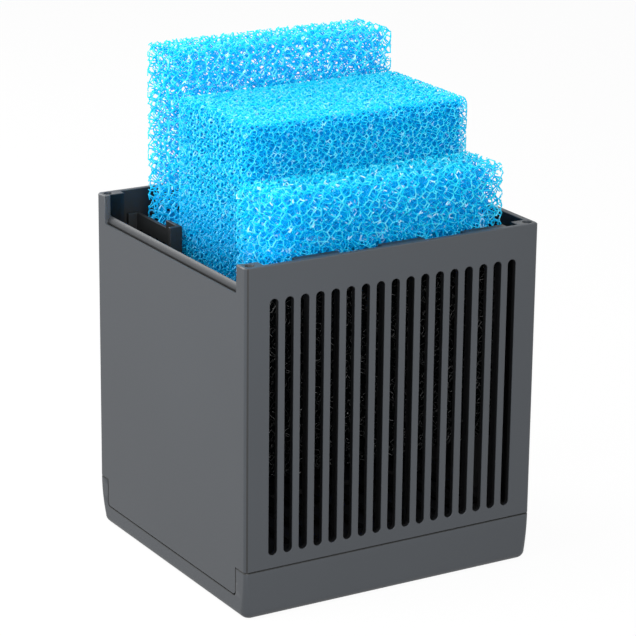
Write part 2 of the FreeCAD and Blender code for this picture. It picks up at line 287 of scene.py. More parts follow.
class FoamSettings(bpy.types.PropertyGroup):
    """What a user would change on the foam slabs."""
    # Painted highlight on the struts' cut ends
    tip_highlight_colour: bpy.props.FloatVectorProperty(
        name="Tip colour", description="Colour of the struts' cut ends",
        subtype="COLOR", size=4, min=0, max=1, default=linear("#98f2fa"))
    colour: bpy.props.FloatVectorProperty(
        name="Foam colour", description="Colour of the struts at the cut faces",
        subtype="COLOR", size=4, min=0, max=1, default=linear("#18e4f4"))
    under_colour: bpy.props.FloatVectorProperty(
        name="Under colour", description="Colour of the struts about a cell under the cut faces",
        subtype="COLOR", size=4, min=0, max=1, default=linear("#00bcea"))
    depth_colour: bpy.props.FloatVectorProperty(
        name="Depth colour", description="Colour of the foam's inside",
        subtype="COLOR", size=4, min=0, max=1, default=linear("#009edc"))
    coarse_cell: bpy.props.FloatProperty(
        name="Coarse cell", description="Distance between the cells of the coarse slabs",
        unit="LENGTH", subtype="DISTANCE", default=3.9 * MM)
    fine_cell: bpy.props.FloatProperty(
        name="Fine cell", description="Distance between the cells of the middle slab",
        unit="LENGTH", subtype="DISTANCE", default=2.5 * MM)
    coarse_strut: bpy.props.FloatProperty(
        name="Coarse strut", description="Thickness of the coarse slabs' struts",
        unit="LENGTH", subtype="DISTANCE", default=0.5 * MM)
    fine_strut: bpy.props.FloatProperty(
        name="Fine strut", description="Thickness of the middle slab's struts",
        unit="LENGTH", subtype="DISTANCE", default=0.38 * MM)
    disorder: bpy.props.FloatProperty(
        name="Disorder", description="How far cell centres stray, as a share of a cell",
        subtype="FACTOR", min=0, max=0.3, default=0.14)
    fray: bpy.props.FloatProperty(
        name="Fray", description="How far cut struts end short of or past the cut face",
        unit="LENGTH", subtype="DISTANCE", default=0.5 * MM)
    worn_edge: bpy.props.FloatProperty(
        name="Worn edge", description="Radius to which the slabs' top and upright edges are worn",
        unit="LENGTH", subtype="DISTANCE", default=3 * MM)
    seed: bpy.props.IntProperty(name="Seed", description="Start of the random numbers", default=7)


class CupSettings(bpy.types.PropertyGroup):
    """What a user would change on the suction cups."""
    colour: bpy.props.FloatVectorProperty(
        name="Rubber colour", description="Colour of the suction cups",
        subtype="COLOR", size=4, min=0, max=1, default=linear("#1c1e20"))
    steps: bpy.props.IntProperty(name="Steps", description="Faces round each cup", min=16, default=64)


class StageSettings(bpy.types.PropertyGroup):
    """What a user would change on the stage."""
    floor_colour: bpy.props.FloatVectorProperty(
        name="Floor colour", description="Colour of the floor",
        subtype="COLOR", size=4, min=0, max=1, default=linear("#fcfcfc"))
    bounce_colour: bpy.props.FloatVectorProperty(
        name="Bounce colour", description="Colour with which the floor lights the object from below",
        subtype="COLOR", size=4, min=0, max=1, default=linear("#3a3a3a"))
    floor_lift: bpy.props.FloatProperty(
        name="Floor lift", description="How far the floor that the camera sees is lifted to white",
        subtype="FACTOR", min=0, max=1, default=0.94)
    surroundings: bpy.props.FloatProperty(
        name="Surroundings", description="Strength of the light that comes from all round",
        min=0, default=0.35)
    key_power: bpy.props.FloatProperty(
        name="Key power", description="Power of the softbox at the left", unit="POWER", default=1.5)
    front_power: bpy.props.FloatProperty(
        name="Front power", description="Power of the softbox in front", unit="POWER", default=2.65)
    top_power: bpy.props.FloatProperty(
        name="Top power", description="Power of the softbox overhead", unit="POWER", default=2.1)
    back_power: bpy.props.FloatProperty(
        name="Back power", description="Power of the softbox behind", unit="POWER", default=6.2)


def add_node(tree, kind, settings, inputs):
    """Adds a node, sets its properties, and sets or links its inputs."""
    made = tree.nodes.new(kind)
    for name, value in settings.items():
        setattr(made, name, value)
    for name, value in inputs.items():
        if isinstance(value, bpy.types.NodeSocket):
            tree.links.new(value, made.inputs[name])
        else:
            made.inputs[name].default_value = value
    return made


def new_material(name):
    """An empty node material and its tree."""
    material = bpy.data.materials.new(name)
    material.use_nodes = True
    material.node_tree.nodes.clear()
    return material, material.node_tree


def add_object(name, mesh, body, nodes, materials):
    """Puts a finished mesh in the scene, on its body and in place of its CAD nodes."""
    piece = bpy.data.objects.new(name, mesh)
    bpy.context.scene.collection.objects.link(piece)
    for material in materials:
        mesh.materials.append(material)
    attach(piece, body)
    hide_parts(*nodes)
    return piece


def finished_mesh(bm, name):
    """The mesh of a bmesh, which is freed."""
    mesh = bpy.data.meshes.new(name)
    bm.to_mesh(mesh)
    bm.free()
    return mesh


def near(tree, value, middle, reach):
    """1 within a distance of a value, falling softly to 0 past it."""
    way = add_node(tree, "ShaderNodeMath", {"operation": "SUBTRACT"}, {0: value, 1: middle})
    off = add_node(tree, "ShaderNodeMath", {"operation": "ABSOLUTE"}, {0: way.outputs[0]})
    return add_node(tree, "ShaderNodeMapRange", {},
                    {"Value": off.outputs[0], "From Min": reach, "From Max": reach + PAINTED_SHADE_FADE,
                     "To Min": 1.0, "To Max": 0.0}).outputs["Result"]


def product(tree, *factors):
    """The product of several masks."""
    result = factors[0]
    for factor in factors[1:]:
        result = add_node(tree, "ShaderNodeMath", {"operation": "MULTIPLY"},
                          {0: result, 1: factor}).outputs[0]
    return result


def ways_off(tree, place, middle):
    """How far a place lies from a middle along each axis."""
    way = add_node(tree, "ShaderNodeVectorMath", {"operation": "SUBTRACT"}, {0: place, 1: middle})
    return add_node(tree, "ShaderNodeVectorMath", {"operation": "ABSOLUTE"}, {0: way.outputs[0]}).outputs[0]


def with_painted_shade(tree, place, clean):
    """The plastic's colour with painted shade in its joints and grooves, on the seat, on the lugs and beside
    the front's left corner.
    """
    axes = add_node(tree, "ShaderNodeSeparateXYZ", {}, {0: place})
    x, y, z = (axes.outputs[name] for name in "XYZ")
    low = add_node(tree, "ShaderNodeMath", {"operation": "LESS_THAN"}, {0: z, 1: OUTLINE_TOP})
    skin = add_node(tree, "ShaderNodeMath", {"operation": "LESS_THAN"}, {0: x, 1: SKIN_X})
    inner = add_node(tree, "ShaderNodeMath", {"operation": "GREATER_THAN"}, {0: x, 1: SKIN_X})
    past = add_node(tree, "ShaderNodeVectorMath", {"operation": "SUBTRACT"},
                    {0: ways_off(tree, place, TONGUE_MIDDLE), 1: TONGUE_REACH})
    out = add_node(tree, "ShaderNodeVectorMath", {"operation": "MAXIMUM"},
                   {0: past.outputs[0], 1: (0, 0, 0)})
    far = add_node(tree, "ShaderNodeVectorMath", {"operation": "LENGTH"},
                   {0: out.outputs[0]}).outputs["Value"]
    beside = add_node(tree, "ShaderNodeMath", {"operation": "GREATER_THAN"}, {0: far, 1: TONGUE_CORNER})
    # The seam doesn't cross the tongue
    free = add_node(tree, "ShaderNodeMath", {"operation": "MAXIMUM"},
                    {0: beside.outputs[0], 1: inner.outputs[0]})
    # Painted shade: dark lines in the seam and round the tongue's outline, then the bands
    dark = [
        product(tree, near(tree, z, SEAM_Z, JOINT_LINE), free.outputs[0]),
        product(tree, near(tree, far, TONGUE_CORNER, JOINT_LINE), skin.outputs[0], low.outputs[0]),
    ]
    for strength, *bands in PAINTED_SHADE_BANDS:
        masks = [near(tree, axis, *band) for axis, band in zip((x, y, z), bands)]
        dark.append(product(tree, strength, *masks))
    painted_shade_share = dark[0]
    for mask in dark[1:]:
        painted_shade_share = add_node(tree, "ShaderNodeMath", {"operation": "MAXIMUM"},
                           {0: painted_shade_share, 1: mask}).outputs[0]
    return add_node(tree, "ShaderNodeMix", {"data_type": "RGBA"},
                    {0: painted_shade_share, 6: clean, 7: PAINTED_SHADE_COLOUR}).outputs[2]


def moulded_plastic(name, colour, grain, painted_shade=False):
    """Satin moulded ABS: an eroded mould leaves a fine grain that spreads its soft shine."""
    material, tree = new_material(name)
    place = add_node(tree, "ShaderNodeTexCoord", {}, {}).outputs["Object"]
    # The grain is drawn 0.5 mm wide, because a real one of 0.05 mm is too fine to show
    fine = add_node(tree, "ShaderNodeTexNoise", {}, {"Vector": place, "Scale": 1 / grain, "Detail": 3})
    drift = add_node(tree, "ShaderNodeTexNoise", {},
                     {"Vector": place, "Scale": 1 / DRIFT_WIDTH, "Detail": 2})
    both = add_node(tree, "ShaderNodeMix", {"data_type": "FLOAT"},
                    {0: GRAIN_SHARE, 2: drift.outputs["Fac"], 3: fine.outputs["Fac"]})
    dark, pale = (tuple(c * tint for c in colour[:3]) + (1.0,) for tint in (DARK_TINT, PALE_TINT))
    clean = add_node(tree, "ShaderNodeMix", {"data_type": "RGBA"}, {0: both.outputs[0], 6: dark, 7: pale})
    # The housing and cap get painted shade in their joints, grooves, seat and lugs
    shown = with_painted_shade(tree, place, clean.outputs[2]) if painted_shade else clean.outputs[2]
    rough = add_node(tree, "ShaderNodeMapRange", {},
                     {"Value": fine.outputs["Fac"], "To Min": 0.42, "To Max": 0.58})
    bump = add_node(tree, "ShaderNodeBump", {},
                    {"Height": fine.outputs["Fac"], "Strength": 0.25, "Distance": GRAIN_DEPTH})
    shader = add_node(tree, "ShaderNodeBsdfPrincipled", {},
                      {"Base Color": shown, "Roughness": rough.outputs["Result"],
                       "IOR": 1.53, "Normal": bump.outputs[0]})
    add_node(tree, "ShaderNodeOutputMaterial", {}, {"Surface": shader.outputs[0]})
    return material


def smooth_shading(piece, crease):
    """Smooth faces with sharp creases, and flat faces kept flat beside their soft edges."""
    mesh = piece.data
    mesh.polygons.foreach_set("use_smooth", [True] * len(mesh.polygons))
    mesh.set_sharp_from_angle(angle=math.radians(crease))
    weighted = piece.modifiers.new("Flat faces", "WEIGHTED_NORMAL")
    weighted.keep_sharp = True


def joined_copy(node):
    """A bmesh of a CAD node with its loose triangles joined into whole faces."""
    bm = bmesh.new()
    bm.from_mesh(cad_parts[node].data)
    bmesh.ops.remove_doubles(bm, verts=bm.verts, dist=SAME_POINT)
    bmesh.ops.dissolve_limit(bm, angle_limit=math.radians(0.5), verts=bm.verts, edges=bm.edges)
    return bm


def soft_edges(bm, edges, radius):
    """Rounds some edges of a moulding."""
    bmesh.ops.bevel(bm, geom=edges, offset=radius, offset_type="OFFSET", affect="EDGES", segments=2,
                    profile=0.5, material=-1, clamp_overlap=False)


def in_slot_field(co):
    """Whether a point lies in the field of the front wall that holds the slots."""
    return abs(co.x) < SLOT_FIELD_HALF and SLOT_LOW_Z - SLOT_MARGIN < co.z < SLOT_HIGH_Z + SLOT_MARGIN


def is_slot_mouth(edge):
    """Whether an edge bounds a slot on the front face."""
    on_face = all(v.co.y <= FRONT + ON_FACE and in_slot_field(v.co) for v in edge.verts)
    return on_face and edge.calc_face_angle(0) > SHARP_ANGLE


def is_inside(face):
    """Whether a face of the housing lines its bay or a slot."""
    spot = face.calc_center_median()
    in_slot = in_slot_field(spot) and FRONT + SLOT_DEPTHS[0] < spot.y < FRONT + SLOT_DEPTHS[1]
    in_bay = (LEFT + BAY_MARGIN < spot.x < RIGHT - BAY_MARGIN
              and FRONT + BAY_MARGIN < spot.y < REAR - BAY_MARGIN and spot.z < RIM_Z - BAY_DARK_DROP)
    # Ledges in the upper half keep the colour of the outside
    return in_slot or (in_bay and (face.normal.z < 0.5 or spot.z < RIM_Z / 2))


def is_visible_corner(edge):
    """Whether an edge is a sharp outer corner near the rim, on the seat or on a post."""
    if not edge.is_convex or edge.calc_face_angle(0) < SHARP_ANGLE:
        return False
    return min(v.co.z for v in edge.verts) > RIM_Z - VISIBLE_DROP and edge.calc_length() > SHORT_EDGE


class FILTER_OT_housing(bpy.types.Operator):
    """Dresses the slotted housing as one satin moulding"""
    bl_idname = "filter_module.housing"
    bl_label = "Housing"

    def execute(self, context):
        settings = context.scene.filter_plastic
        bm = joined_copy("housing")
        soft_edges(bm, [e for e in bm.edges if is_slot_mouth(e)], settings.slot_edge)
        soft_edges(bm, [e for e in bm.edges if is_visible_corner(e)], settings.edge)
        # The bay's and slots' linings take the inside material, whose dark colour is painted shade
        for face in bm.faces:
            face.material_index = int(is_inside(face))
        plastic = moulded_plastic("Satin moulded ABS, housing", settings.body_colour, settings.grain,
                                  painted_shade=True)
        inside = moulded_plastic("Wet moulded ABS, inside", settings.inner_shade_colour, settings.grain)
        piece = add_object("housing_moulding", finished_mesh(bm, "housing_moulding"), "housing",
                           ["housing"], [plastic, inside])
        smooth_shading(piece, MOULD_CREASE)
        return {"FINISHED"}


def opened_corner(co, settings):
    """Where a point of the cap's skin goes when its corners open out towards the foot."""
    side_x = -1 if co.x < 0 else 1
    side_y = -1 if co.y < (FRONT + REAR) / 2 else 1
    wall_x = LEFT if side_x < 0 else RIGHT
    wall_y = FRONT if side_y < 0 else REAR
    u = abs(co.x - wall_x)
    v = abs(co.y - wall_y)

    def moved(u, v, z):
        return Vector((wall_x - side_x * u, wall_y - side_y * v, z))

    old = CAD_CAP_RADIUS
    edge = settings.cap_edge
    low = settings.cap_corner_low if side_y < 0 else settings.cap_corner_rear
    reach_x = max(old - u, 0)
    reach_y = max(old - v, 0)
    reach_z = max(old - co.z, 0)
    distance = math.sqrt(reach_x ** 2 + reach_y ** 2 + reach_z ** 2)
    if abs(distance - old) > CAP_SKIN:
        return co
    # The bottom edge takes its new radius, and its corners theirs at the foot
    if reach_z > 0 or co.z < old + ON_FACE:
        rise = edge - edge * reach_z / old
        flat = edge * math.hypot(reach_x, reach_y) / old
        if reach_x > 0 and reach_y > 0:
            turn = math.atan2(reach_y, reach_x)
            out = low - edge + flat
            return moved(low - out * math.cos(turn), low - out * math.sin(turn), rise)
        if u < low and v < low:
            return moved(edge - flat, low, rise) if reach_y == 0 else moved(low, edge - flat, rise)
        return moved(edge - flat, v, rise) if u < v else moved(u, edge - flat, rise)
    # Above it the corners' radius grows with the square of the way down from the seam
    share = (SEAM_Z - co.z) / (SEAM_Z - edge)
    radius = settings.cap_corner_top + (low - settings.cap_corner_top) * min(max(share, 0), 1) ** 2
    if max(u, v) >= max(radius, old + ON_FACE):
        return co
    # A flat point that a wider corner takes in slides to where that corner starts
    if max(u, v) > old + ON_FACE:
        return moved(u, radius, co.z) if v > u else moved(radius, v, co.z)
    turn = math.atan2(old - v, old - u)
    out = radius + distance - old
    return moved(radius - out * math.cos(turn), radius - out * math.sin(turn), co.z)


def is_cap_inside(face):
    """Whether a face of the cap lines its hollow."""
    spot = face.calc_center_median()
    return (LEFT + CAP_MARGIN_X < spot.x < RIGHT - CAP_MARGIN_X
            and FRONT + CAP_MARGIN_Y < spot.y < REAR - CAP_MARGIN_Y and spot.z > CAP_UNDERSIDE)


class FILTER_OT_base_cap(bpy.types.Operator):
    """Dresses the bottom cap, whose corners open out towards its foot"""
    bl_idname = "filter_module.base_cap"
    bl_label = "Base cap"

    def execute(self, context):
        settings = context.scene.filter_plastic
        bm = bmesh.new()
        bm.from_mesh(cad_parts["base_cap"].data)
        bmesh.ops.remove_doubles(bm, verts=bm.verts, dist=SAME_POINT)
        for z in CAP_CUTS:
            bmesh.ops.bisect_plane(bm, geom=bm.verts[:] + bm.edges[:] + bm.faces[:], dist=CUT_REACH,
                                   plane_co=(0, 0, z), plane_no=(0, 0, 1))
        for vert in bm.verts:
            vert.co = opened_corner(vert.co, settings)
        bmesh.ops.remove_doubles(bm, verts=bm.verts, dist=2 * ON_FACE)
        bmesh.ops.dissolve_degenerate(bm, edges=bm.edges, dist=ON_FACE)
        bmesh.ops.recalc_face_normals(bm, faces=bm.faces)
        # The cap's hollow takes the inside material, whose dark colour is painted shade
        for face in bm.faces:
            face.material_index = int(is_cap_inside(face))
        plastic = moulded_plastic("Satin moulded ABS, cap", settings.body_colour, settings.grain,
                                  painted_shade=True)
        inside = moulded_plastic("Wet moulded ABS, cap inside", settings.inner_shade_colour, settings.grain)
        piece = add_object("base_cap_moulding", finished_mesh(bm, "base_cap_moulding"), "base_cap",
                           ["base_cap"], [plastic, inside])
        smooth_shading(piece, MOULD_CREASE)
        return {"FINISHED"}


class FILTER_OT_riser_screen(bpy.types.Operator):
    """Dresses the upright slotted screen in front of the riser channel"""
    bl_idname = "filter_module.riser_screen"
    bl_label = "Riser screen"

    def execute(self, context):
        settings = context.scene.filter_plastic
        bm = joined_copy("riser_screen")
        convex = [e for e in bm.edges if e.is_convex and e.calc_face_angle(0) > SHARP_ANGLE]
        soft_edges(bm, convex, settings.edge)
        plastic = moulded_plastic("Satin moulded ABS, screen", settings.screen_colour, settings.grain)
        piece = add_object("riser_screen_moulding", finished_mesh(bm, "riser_screen_moulding"),
                           "riser_screen", ["riser_screen"], [plastic])
        smooth_shading(piece, MOULD_CREASE)
        return {"FINISHED"}


# The foam of one slab. cell is the distance between its cells, and strut the thickness of its struts. Its
# shell of struts is layers cells deep. From open_drop below the rim upwards it is all struts, less the
# share loss of those inside. glints is how white its painted glints are, and mulm paints shade on its foot.
Slab = namedtuple("Slab", "place cell strut layers open_drop loss films mulm slot")


def cell_sites(disorder, rng):
    """Cell centres on a body-centred lattice with some disorder, in cells."""
    sites = []
    for z, y, x in itertools.product(range(BLOCK_SIDE), repeat=3):
        for shift in (0, 0.5):
            place = Vector((x, y, z)) + Vector((shift,) * 3)
            sites.append(place + Vector([rng.gauss(0, disorder) for _ in range(3)]))
    return sites


def neighbours(site, grid):
    """Ways from a site to the sites round it, in a block that repeats on all sides."""
    home = [math.floor(v) for v in site]
    ways = []
    for z, y, x in itertools.product(range(-NEIGHBOUR_STEPS, NEIGHBOUR_STEPS + 1), repeat=3):
        key = (home[0] + x, home[1] + y, home[2] + z)
        for other in grid.get(tuple(k % BLOCK_SIDE for k in key), ()):
            shift = Vector([key[a] - math.floor(other[a]) for a in range(3)])
            way = other + shift - site
            if SAME_POINT < way.length < NEIGHBOUR_REACH:
                ways.append(way)
    return sorted(ways, key=lambda way: way.length_squared)


def cell_edges(ways):
    """The edges of the cell round a site: what is nearer to it than to its neighbours."""
    bm = bmesh.new()
    bmesh.ops.create_cube(bm, size=CELL_CUBE)
    for way in ways:
        if way.length / 2 > max(v.co.length for v in bm.verts):
            break
        cut = bmesh.ops.bisect_plane(bm, geom=bm.verts[:] + bm.edges[:] + bm.faces[:], dist=SAME_POINT,
                                     plane_co=way / 2, plane_no=way, clear_outer=True)
        rim = [g for g in cut["geom_cut"] if isinstance(g, bmesh.types.BMEdge)]
        if rim:
            bmesh.ops.edgenet_fill(bm, edges=rim)
    edges = [(e.verts[0].co.copy(), e.verts[1].co.copy()) for e in bm.edges]
    bm.free()
    return edges


def foam_block(disorder, seed):
    """A mesh of the struts of a block of foam that repeats on all sides, in cells."""
    sites = cell_sites(disorder, random.Random(seed))
    grid = {}
    for site in sites:
        grid.setdefault(tuple(math.floor(v) % BLOCK_SIDE for v in site), []).append(site)
    # Each strut is found from the cells round it, and kept once
    found = {}
    for site in sites:
        for a, b in cell_edges(neighbours(site, grid)):
            middle = site + (a + b) / 2
            shift = Vector([-(m // BLOCK_SIDE) * BLOCK_SIDE for m in middle])
            key = tuple(round(m, 3) % BLOCK_SIDE for m in middle + shift)
            found.setdefault(key, (site + a + shift, site + b + shift))
    bm = bmesh.new()
    for a, b in found.values():
        bm.edges.new((bm.verts.new(a), bm.verts.new(b)))
    bmesh.ops.remove_doubles(bm, verts=bm.verts, dist=BLOCK_JOIN)
    return finished_mesh(bm, "foam_block")


def with_modifiers(holder):
    """A new mesh of an object as its modifiers leave it."""
    return bpy.data.meshes.new_from_object(holder.evaluated_get(bpy.context.evaluated_depsgraph_get()))


def repeated(block, counts):
    """The block repeated along the three axes, as a bmesh."""
    holder = bpy.data.objects.new("foam_repeat", block)
    bpy.context.scene.collection.objects.link(holder)
    for axis in range(3):
        array = holder.modifiers.new("Repeat", "ARRAY")
        array.count = counts[axis]
        array.use_relative_offset = False
        array.use_constant_offset = True
        array.constant_offset_displace = [BLOCK_SIDE if a == axis else 0 for a in range(3)]
        array.use_merge_vertices = True
        array.merge_threshold = BLOCK_SEAM
    mesh = with_modifiers(holder)
    bm = bmesh.new()
    bm.from_mesh(mesh)
    bpy.data.meshes.remove(mesh)
    bpy.data.objects.remove(holder)
    return bm


def depth_in(co, low, high):
    """How deep a point lies under the nearest face of a box."""
    return min(min(co[a] - low[a], high[a] - co[a]) for a in range(3))


def worn(co, low, high, radius):
    """Where a point goes on a slab whose top and upright edges are worn round."""
    inner = Vector([min(max(co[a], low[a] + radius), high[a] - radius) for a in range(3)])
    inner.z = min(co.z, high.z - radius)
    way = co - inner
    return inner + way * min(radius / max(way.length, SAME_POINT), 1)


def foam_web(block, slab, low, high, open_z, settings, seed):
    """Edges for a slab's struts: a shell under every face, and above a height the whole slab."""
    cell = slab.cell
    shell = slab.layers * cell
    size = high - low
    counts = [math.ceil(size[a] / (cell * BLOCK_SIDE)) + 1 for a in range(3)]
    bm = repeated(block, counts)
    bmesh.ops.scale(bm, vec=(cell,) * 3, verts=bm.verts)
    bmesh.ops.translate(bm, vec=low - Vector((cell * BLOCK_SIDE / 2,) * 3), verts=bm.verts)
    far = [v for v in bm.verts if depth_in(v.co, low, high) < -SPARE_CELLS * cell]
    bmesh.ops.delete(bm, geom=far, context="VERTS")
    deep = [v for v in bm.verts if depth_in(v.co, low, high) > shell and v.co.z < open_z]
    bmesh.ops.delete(bm, geom=deep, context="VERTS")
    rng = random.Random(seed)
    lost = [v for v in bm.verts if depth_in(v.co, low, high) > shell and rng.random() < slab.loss]
    bmesh.ops.delete(bm, geom=lost, context="VERTS")
    bmesh.ops.remove_doubles(bm, verts=bm.verts, dist=SHORTEST_STRUT * cell)
    for axis in range(3):
        for corner, sign in ((low, -1), (high, 1)):
            normal = Vector([sign if a == axis else 0 for a in range(3)])
            cut = bmesh.ops.bisect_plane(bm, geom=bm.verts[:] + bm.edges[:], dist=CUT_REACH,
                                         plane_co=corner, plane_no=normal, clear_outer=True)
            for vert in [g for g in cut["geom_cut"] if isinstance(g, bmesh.types.BMVert)]:
                vert.co += normal * rng.uniform(*FRAY_RANGE) * settings.fray
    for vert in bm.verts:
        vert.co.z = max(vert.co.z, low.z + FOOT_GAP)
        vert.co = worn(vert.co, low, high, settings.worn_edge)
    bmesh.ops.remove_doubles(bm, verts=bm.verts, dist=SHORTEST_END * cell)
    loose = [v for v in bm.verts if not v.link_edges]
    bmesh.ops.delete(bm, geom=loose, context="VERTS")
    return bm


def strut_group(radius, across):
    """Geometry nodes that turn edges into three-sided struts, each with its own square of the bake's map."""
    tree = bpy.data.node_groups.new("Struts", "GeometryNodeTree")
    tree.interface.new_socket("Geometry", in_out="INPUT", socket_type="NodeSocketGeometry")
    tree.interface.new_socket("Geometry", in_out="OUTPUT", socket_type="NodeSocketGeometry")
    start = add_node(tree, "NodeGroupInput", {}, {})
    curve = add_node(tree, "GeometryNodeMeshToCurve", {}, {"Mesh": start.outputs[0]})
    ring = add_node(tree, "GeometryNodeCurvePrimitiveCircle", {"mode": "RADIUS"},
                    {"Resolution": STRUT_SIDES, "Radius": radius})
    tube = add_node(tree, "GeometryNodeCurveToMesh", {},
                    {"Curve": curve.outputs[0], "Profile Curve": ring.outputs[0], "Fill Caps": True})
    smooth = add_node(tree, "GeometryNodeSetShadeSmooth", {}, {"Geometry": tube.outputs[0]})
    # The strut's square, by column and row
    strut = add_node(tree, "GeometryNodeInputMeshIsland", {}, {}).outputs["Island Index"]
    column = add_node(tree, "ShaderNodeMath", {"operation": "FLOORED_MODULO"}, {0: strut, 1: across})
    rows = add_node(tree, "ShaderNodeMath", {"operation": "DIVIDE"}, {0: strut, 1: across})
    row = add_node(tree, "ShaderNodeMath", {"operation": "FLOOR"}, {0: rows.outputs[0]})
    # The point's corner of the strut, and which end it is at
    point = add_node(tree, "GeometryNodeInputIndex", {}, {}).outputs[0]
    corner = add_node(tree, "ShaderNodeMath", {"operation": "FLOORED_MODULO"}, {0: point, 1: STRUT_SIDES})
    ends = add_node(tree, "ShaderNodeMath", {"operation": "DIVIDE"}, {0: point, 1: STRUT_SIDES})
    whole = add_node(tree, "ShaderNodeMath", {"operation": "FLOOR"}, {0: ends.outputs[0]})
    end = add_node(tree, "ShaderNodeMath", {"operation": "FLOORED_MODULO"}, {0: whole.outputs[0], 1: 2.0})
    bent = add_node(tree, "ShaderNodeMath", {"operation": "COMPARE"}, {0: corner.outputs[0], 1: 1.0, 2: 0.1})
    # Its place in the square
    along = add_node(tree, "ShaderNodeMath", {"operation": "MULTIPLY_ADD"},
                     {0: corner.outputs[0], 1: MAP_STEP, 2: MAP_START_U})
    raised = add_node(tree, "ShaderNodeMath", {"operation": "MULTIPLY_ADD"},
                      {0: bent.outputs[0], 1: MAP_BEND, 2: MAP_START_V})
    up = add_node(tree, "ShaderNodeMath", {"operation": "MULTIPLY_ADD"},
                  {0: end.outputs[0], 1: MAP_RISE, 2: raised.outputs[0]})
    u = add_node(tree, "ShaderNodeMath", {"operation": "ADD"}, {0: column.outputs[0], 1: along.outputs[0]})
    v = add_node(tree, "ShaderNodeMath", {"operation": "ADD"}, {0: row.outputs[0], 1: up.outputs[0]})
    pair = add_node(tree, "ShaderNodeCombineXYZ", {}, {0: u.outputs[0], 1: v.outputs[0]})
    spot = add_node(tree, "ShaderNodeVectorMath", {"operation": "SCALE"},
                    {0: pair.outputs[0], "Scale": 1 / across})
    on_points = add_node(tree, "GeometryNodeFieldOnDomain", {"data_type": "FLOAT_VECTOR", "domain": "POINT"},
                         {0: spot.outputs[0]})
    store = add_node(tree, "GeometryNodeStoreNamedAttribute", {"data_type": "FLOAT2", "domain": "CORNER"},
                     {"Geometry": smooth.outputs[0], "Name": "OFBake", "Value": on_points.outputs[0]})
    add_node(tree, "NodeGroupOutput", {}, {0: store.outputs[0]})
    return tree


def strut_mesh(bm, name, radius):
    """The solid struts of a web of edges."""
    across = math.ceil(math.sqrt(len(bm.edges)))
    web = finished_mesh(bm, "web")
    holder = bpy.data.objects.new("strut_holder", web)
    bpy.context.scene.collection.objects.link(holder)
    modifier = holder.modifiers.new("Struts", "NODES")
    modifier.node_group = strut_group(radius, across)
    mesh = with_modifiers(holder)
    mesh.name = name
    bpy.data.objects.remove(holder)
    bpy.data.meshes.remove(web)
    return mesh


def add_core(mesh, low, high):
    """Adds a block inside the struts, with the second material."""
    bm = bmesh.new()
    bm.from_mesh(mesh)
    bake = bm.loops.layers.uv["OFBake"]
    made = bmesh.ops.create_cube(bm, size=1)
    bmesh.ops.scale(bm, vec=high - low, verts=made["verts"])
    bmesh.ops.translate(bm, vec=(low + high) / 2, verts=made["verts"])
    for face in {f for v in made["verts"] for f in v.link_faces}:
        face.material_index = 1
        for loop, uv in zip(face.loops, ((CORE_MAP, CORE_MAP), (1, CORE_MAP), (1, 1), (CORE_MAP, 1))):
            loop[bake].uv = uv
    bm.to_mesh(mesh)
    bm.free()


def with_slot_shade(tree, place, clean):
    """The foam's colour, with painted shade, nearly black, on the inlet slab from the tops of the slots down.
    """
    axes = add_node(tree, "ShaderNodeSeparateXYZ", {}, {0: place})
    patches = add_node(tree, "ShaderNodeTexNoise", {},
                       {"Vector": place, "Scale": 1 / SLOT_SHADE_PATCH, "Detail": 3})
    height = add_node(tree, "ShaderNodeMath", {"operation": "MULTIPLY_ADD"},
                      {0: patches.outputs["Fac"], 1: -SLOT_SHADE_WANDER, 2: axes.outputs["Z"]})
    border = SLOT_HIGH_Z - SLOT_SHADE_WANDER / 2
    below = add_node(tree, "ShaderNodeMapRange", {"interpolation_type": "SMOOTHSTEP"},
                     {"Value": height.outputs[0], "From Min": border, "From Max": border + SLOT_SHADE_FADE,
                      "To Min": 1.0, "To Max": 0.0})
    return add_node(tree, "ShaderNodeMix", {"data_type": "RGBA"},
                    {0: below.outputs["Result"], 6: clean, 7: SLOT_SHADE_COLOUR}).outputs[2]


def passing_light(tree, shader, place, tint, share):
    """A shader whose shadows let a share of the light through, tinted, above the housing's rim."""
    clear = add_node(tree, "ShaderNodeBsdfTransparent", {}, {"Color": tint})
    path = add_node(tree, "ShaderNodeLightPath", {}, {})
    axes = add_node(tree, "ShaderNodeSeparateXYZ", {}, {0: place})
    risen = add_node(tree, "ShaderNodeMapRange", {"interpolation_type": "SMOOTHSTEP"},
                     {"Value": axes.outputs["Z"], "From Min": LIT_LOW_Z, "From Max": LIT_HIGH_Z,
                      "To Max": share})
    faint = add_node(tree, "ShaderNodeMath", {"operation": "MULTIPLY"},
                     {0: path.outputs["Is Shadow Ray"], 1: risen.outputs["Result"]})
    return add_node(tree, "ShaderNodeMixShader", {},
                    {0: faint.outputs[0], 1: shader, 2: clear.outputs[0]}).outputs[0]


def painted_rim_shade(tree, place):
    """How far the foam's colour is deepened by painted shade inside the housing."""
    axes = add_node(tree, "ShaderNodeSeparateXYZ", {}, {0: place})
    return add_node(tree, "ShaderNodeMapRange", {"interpolation_type": "SMOOTHSTEP"},
                    {"Value": axes.outputs["Z"], "From Min": RIM_SHADE_LOW_Z, "From Max": RIM_SHADE_HIGH_Z,
                     "To Min": RIM_SHADE_SHARE, "To Max": 0.0}).outputs["Result"]


def depth_under(tree, place, low, high):
    """How deep a point lies under the nearest face of a slab."""
    left = add_node(tree, "ShaderNodeVectorMath", {"operation": "SUBTRACT"},
                    {0: (high - low) / 2, 1: ways_off(tree, place, (low + high) / 2)})
    axes = add_node(tree, "ShaderNodeSeparateXYZ", {}, {0: left.outputs[0]})
    flat = add_node(tree, "ShaderNodeMath", {"operation": "MINIMUM"},
                    {0: axes.outputs["X"], 1: axes.outputs["Y"]})
    return add_node(tree, "ShaderNodeMath", {"operation": "MINIMUM"},
                    {0: flat.outputs[0], 1: axes.outputs["Z"]}).outputs[0]


